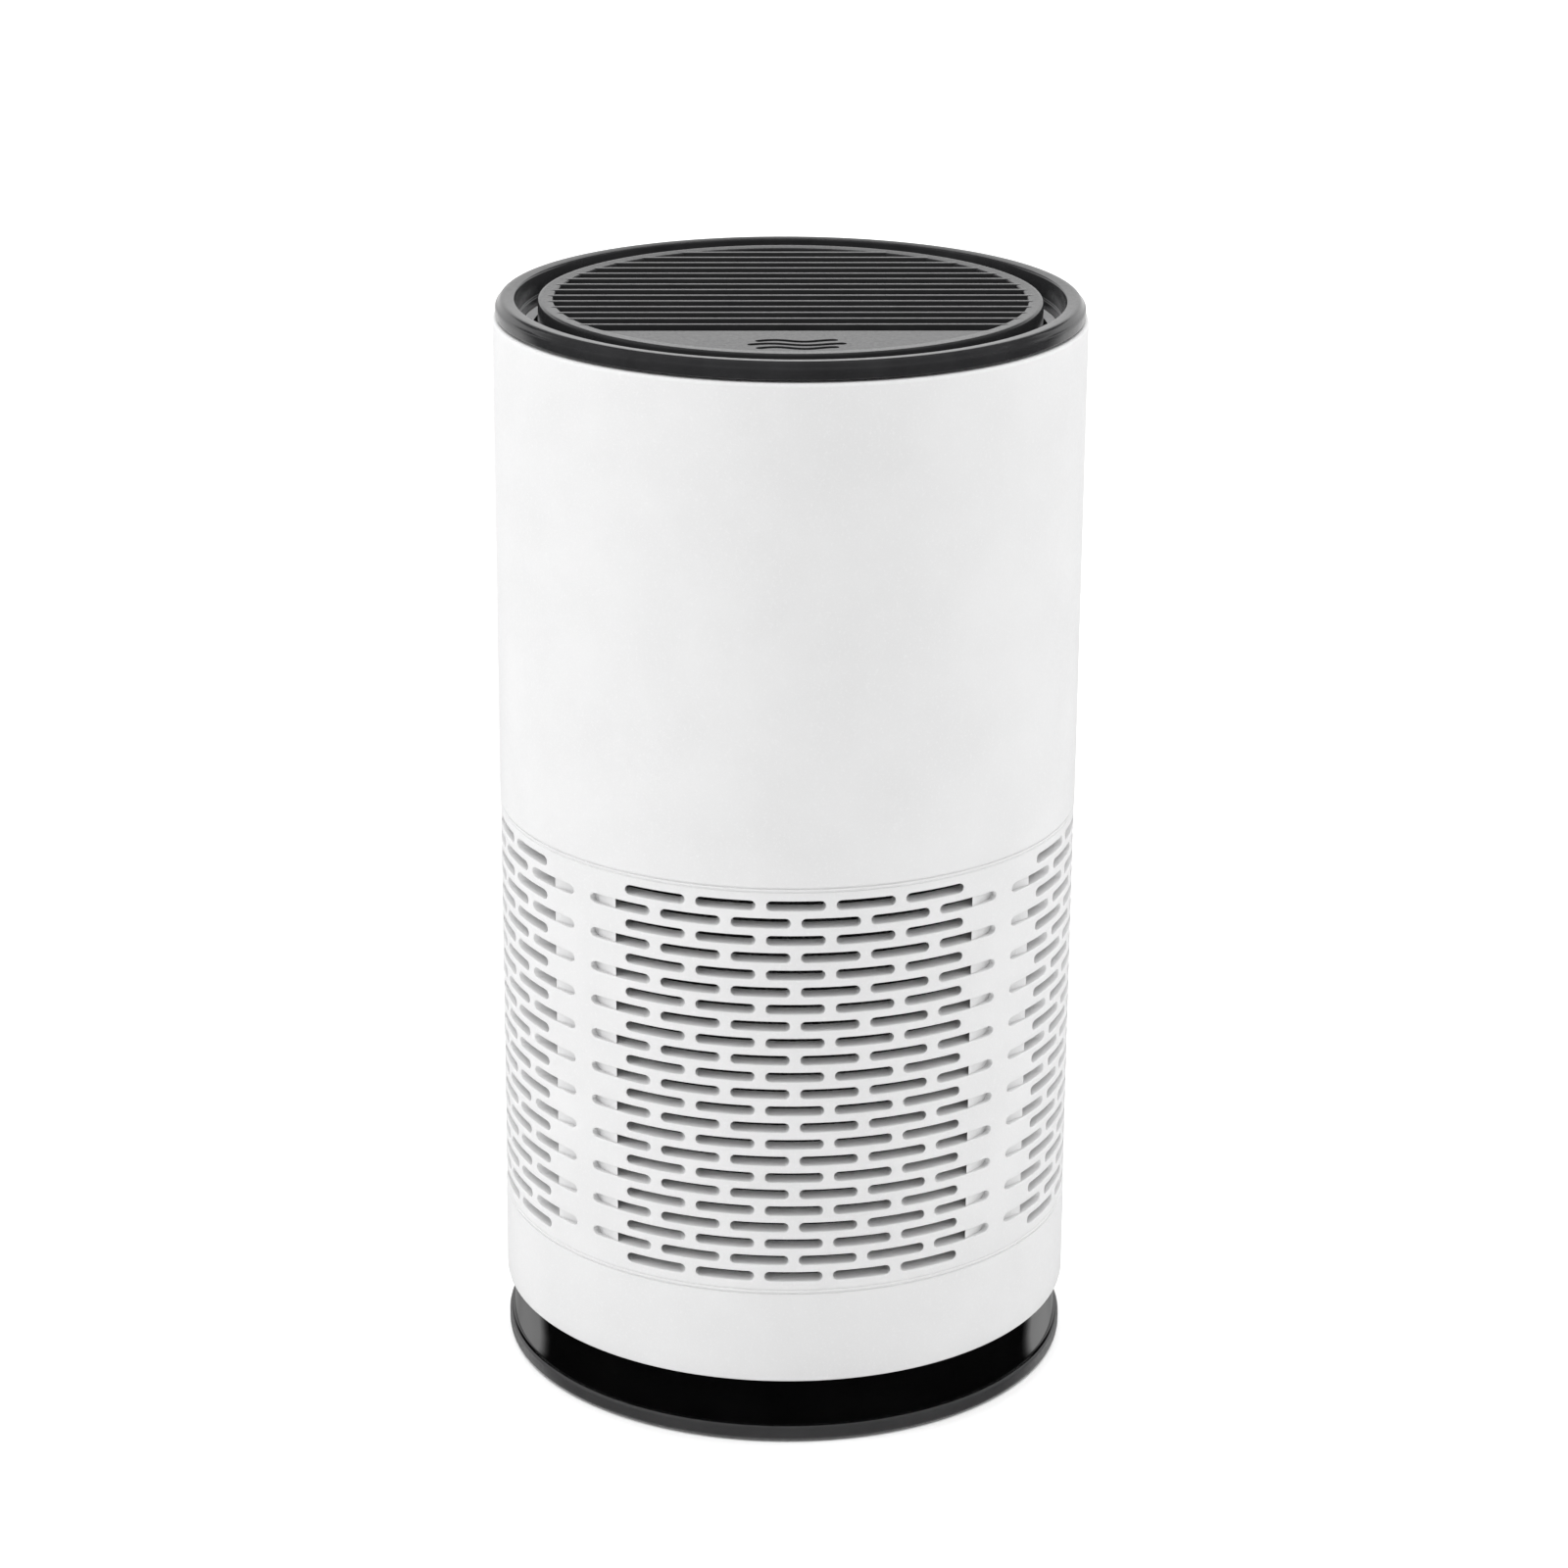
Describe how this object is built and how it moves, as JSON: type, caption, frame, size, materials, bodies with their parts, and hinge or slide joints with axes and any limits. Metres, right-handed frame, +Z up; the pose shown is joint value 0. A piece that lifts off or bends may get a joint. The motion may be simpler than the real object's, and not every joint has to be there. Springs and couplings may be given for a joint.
{
  "type": "air purifier",
  "caption": "Small cylindrical desk air purifier: slotted white shell, black top ring, louvred push-disc outlet, twist-off glossy base, ring filter and axial fan.",
  "frame": {"origin": "centre of the plane that the foot pads stand on", "axes": "+Z up along the cylinder, -Y towards the front of the flat panel, +Y towards the USB socket"},
  "size_m": [0.07, 0.07, 0.1321],
  "materials": {
    "white_abs": "fine spark-eroded texture",
    "black_satin_abs": "satin",
    "black_gloss_abs": "high gloss",
    "grey_abs": "as moulded",
    "rubber": "matte",
    "carbon_foam": "open-cell foam",
    "filter_paper": "pleated non-woven",
    "eva_foam": "closed-cell foam",
    "steel": "bright",
    "copper_wire": "enamelled wire",
    "bronze": "sintered",
    "ferrite": "sintered",
    "circuit_board": "solder mask",
    "clear_lens": "polished",
    "led_resin": "clear resin"
  },
  "bodies": {
    "base": {"base_foot": "black_gloss_abs", "filter_tray": "black_satin_abs", "foot_pad_1": "rubber", "foot_pad_2": "rubber", "foot_pad_3": "rubber", "foot_pad_4": "rubber", "tray_screw_1": "steel", "tray_screw_2": "steel", "tray_screw_3": "steel"},
    "filter": {"filter_bottom_cap": "black_satin_abs", "filter_top_cap": "black_satin_abs", "prefilter_sleeve": "carbon_foam", "hepa_pleats": "filter_paper", "core_tube": "white_abs", "seal_gasket": "eva_foam"},
    "housing": {"outer_shell": "white_abs", "top_ring": "black_satin_abs", "fan_deck": "grey_abs", "fan_frame": "grey_abs", "outlet_diffuser": "grey_abs", "top_deck": "grey_abs", "deck_screw_1": "steel", "deck_screw_2": "steel", "deck_screw_3": "steel", "fan_screw_1": "steel", "fan_screw_2": "steel", "fan_screw_3": "steel", "top_deck_screw_1": "steel", "top_deck_screw_2": "steel", "top_deck_screw_3": "steel", "motor_board": "circuit_board", "stator_core": "steel", "stator_coil_1": "copper_wire", "stator_coil_2": "copper_wire", "stator_coil_3": "copper_wire", "stator_coil_4": "copper_wire", "bearing_sleeve": "bronze", "control_board": "circuit_board", "tact_switch": "black_satin_abs", "status_led_1": "led_resin", "status_led_2": "led_resin", "ioniser_module": "black_satin_abs", "ioniser_needle": "steel", "usb_board": "circuit_board", "usb_socket": "steel", "usb_tongue": "black_satin_abs"},
    "fan": {"impeller": "black_satin_abs", "rotor_yoke": "steel", "magnet_ring": "ferrite", "motor_shaft": "steel"},
    "push_top": {"outlet_disc": "black_satin_abs", "icon_lens": "clear_lens", "return_spring_1": "steel", "return_spring_2": "steel", "return_spring_3": "steel"}
  },
  "joints": [
    {"name": "base_twist", "type": "hinge", "parent": "base", "child": "filter", "pos_m": [0, 0, 0.012], "axis": [0, 0, 1], "range_deg": [0, 25]},
    {"name": "housing_lift", "type": "slide", "parent": "filter", "child": "housing", "axis": [0, 0, 1], "range_m": [0, 0.085]},
    {"name": "fan_spin", "type": "hinge", "parent": "housing", "child": "fan", "pos_m": [0, 0, 0.085], "axis": [0, 0, 1], "continuous": true},
    {"name": "top_press", "type": "slide", "parent": "housing", "child": "push_top", "axis": [0, 0, -1], "range_m": [0, 0.0012], "stiffness_N_per_m": 1200, "springref_m": -0.0005, "deforming": ["return_spring_1", "return_spring_2", "return_spring_3"]}
  ]
}
